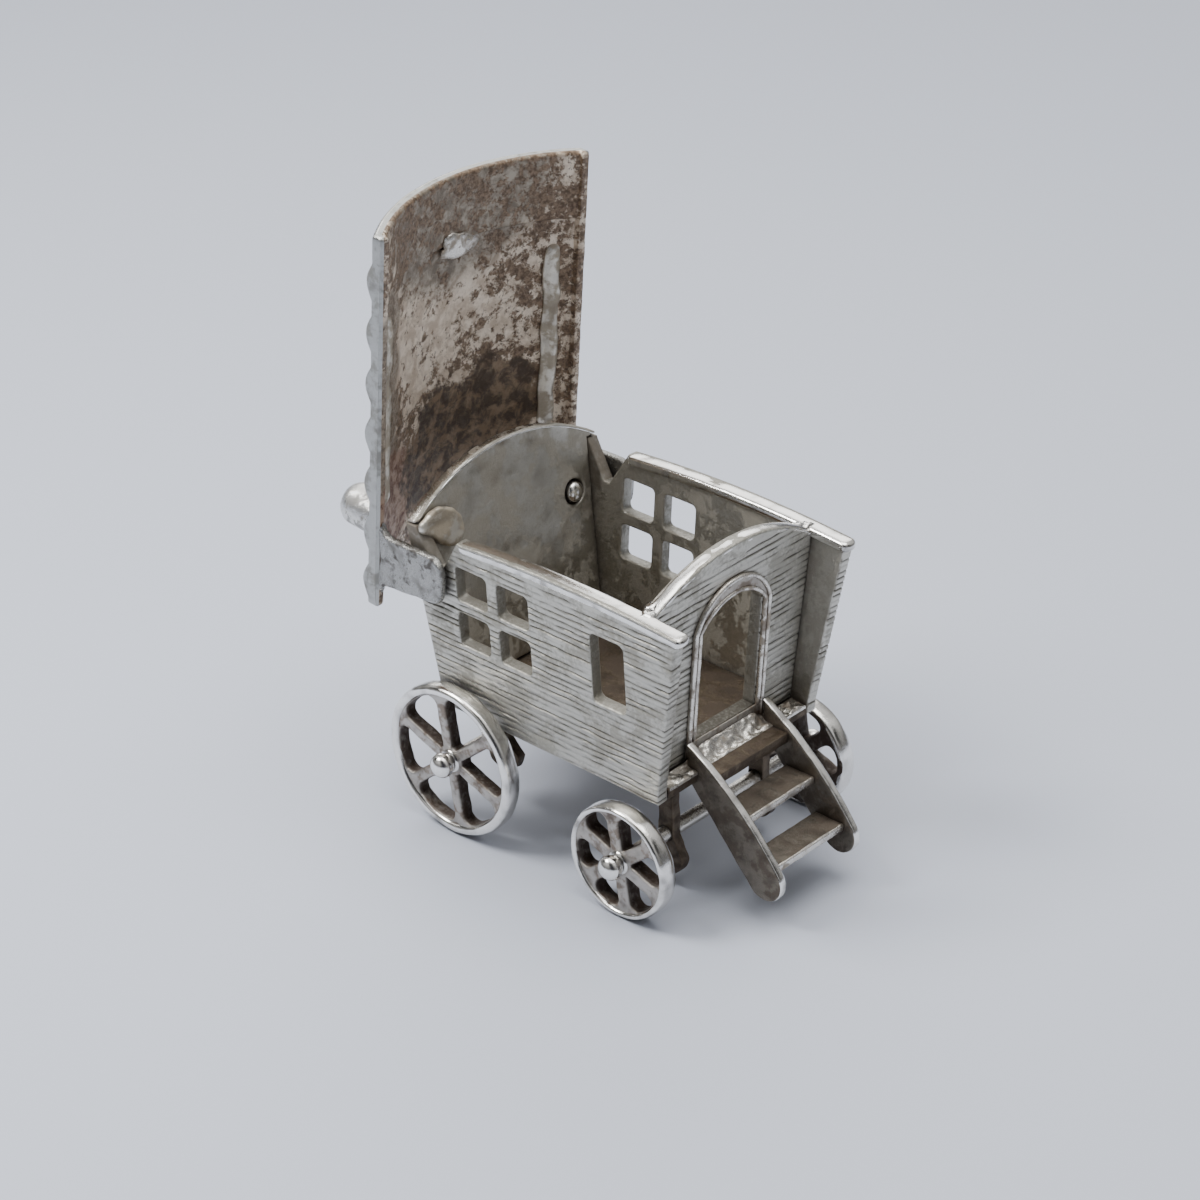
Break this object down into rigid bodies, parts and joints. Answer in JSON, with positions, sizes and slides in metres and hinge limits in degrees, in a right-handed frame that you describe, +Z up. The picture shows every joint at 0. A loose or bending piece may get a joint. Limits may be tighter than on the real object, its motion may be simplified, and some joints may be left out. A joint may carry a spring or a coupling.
{
  "type": "opening vardo wagon charm",
  "caption": "Silver charm of a vardo wagon: open cabin with windows, porch and steps on freely turning spoked wheels, with a scalloped arched roof lid hinged near the rear.",
  "frame": {"origin": "on the ground, below the middle of the bounding box with the roof lid standing open as it is stored", "axes": "+X forward towards the steps, +Y to the wagon's left, +Z up; the wheels stand on Z = 0"},
  "size_m": [0.0266, 0.016, 0.0307],
  "materials": {
    "polished_silver": "worn polish",
    "aged_silver": "cast, tarnished in the recesses"
  },
  "bodies": {
    "wagon": {"floor": "aged_silver", "side_wall_right": "polished_silver", "side_wall_left": "polished_silver", "front_wall": "aged_silver", "rear_wall": "aged_silver", "rear_stud": "polished_silver", "corner_tab": "aged_silver", "hinge_pin_right": "polished_silver", "hinge_pin_left": "polished_silver", "stringer_right": "polished_silver", "stringer_left": "polished_silver", "tread_upper": "polished_silver", "tread_lower": "polished_silver", "hanger_front_right": "aged_silver", "hanger_front_left": "aged_silver", "hanger_rear_right": "aged_silver", "hanger_rear_left": "aged_silver", "axle_front": "polished_silver", "axle_rear": "polished_silver"},
    "roof": {"roof_shell": "aged_silver", "roof_ear_right": "aged_silver", "roof_ear_left": "aged_silver", "chimney": "aged_silver", "hanging_eye": "polished_silver"},
    "wheel_rear_right": {"wheel_rear_right": "polished_silver"},
    "wheel_rear_left": {"wheel_rear_left": "polished_silver"},
    "wheel_front_right": {"wheel_front_right": "polished_silver"},
    "wheel_front_left": {"wheel_front_left": "polished_silver"}
  },
  "joints": [
    {"name": "roof_hinge", "type": "hinge", "parent": "wagon", "child": "roof", "pos_m": [-0.00621, 0, 0.01335], "axis": [0, 1, 0], "range_deg": [0, 86]},
    {"name": "wheel_rear_right_turn", "type": "hinge", "parent": "wagon", "child": "wheel_rear_right", "pos_m": [-0.00416, -0.0066, 0.004], "axis": [0, 1, 0], "continuous": true},
    {"name": "wheel_rear_left_turn", "type": "hinge", "parent": "wagon", "child": "wheel_rear_left", "pos_m": [-0.00416, 0.0066, 0.004], "axis": [0, 1, 0], "continuous": true},
    {"name": "wheel_front_right_turn", "type": "hinge", "parent": "wagon", "child": "wheel_front_right", "pos_m": [0.00674, -0.0066, 0.00295], "axis": [0, 1, 0], "continuous": true},
    {"name": "wheel_front_left_turn", "type": "hinge", "parent": "wagon", "child": "wheel_front_left", "pos_m": [0.00674, 0.0066, 0.00295], "axis": [0, 1, 0], "continuous": true}
  ]
}
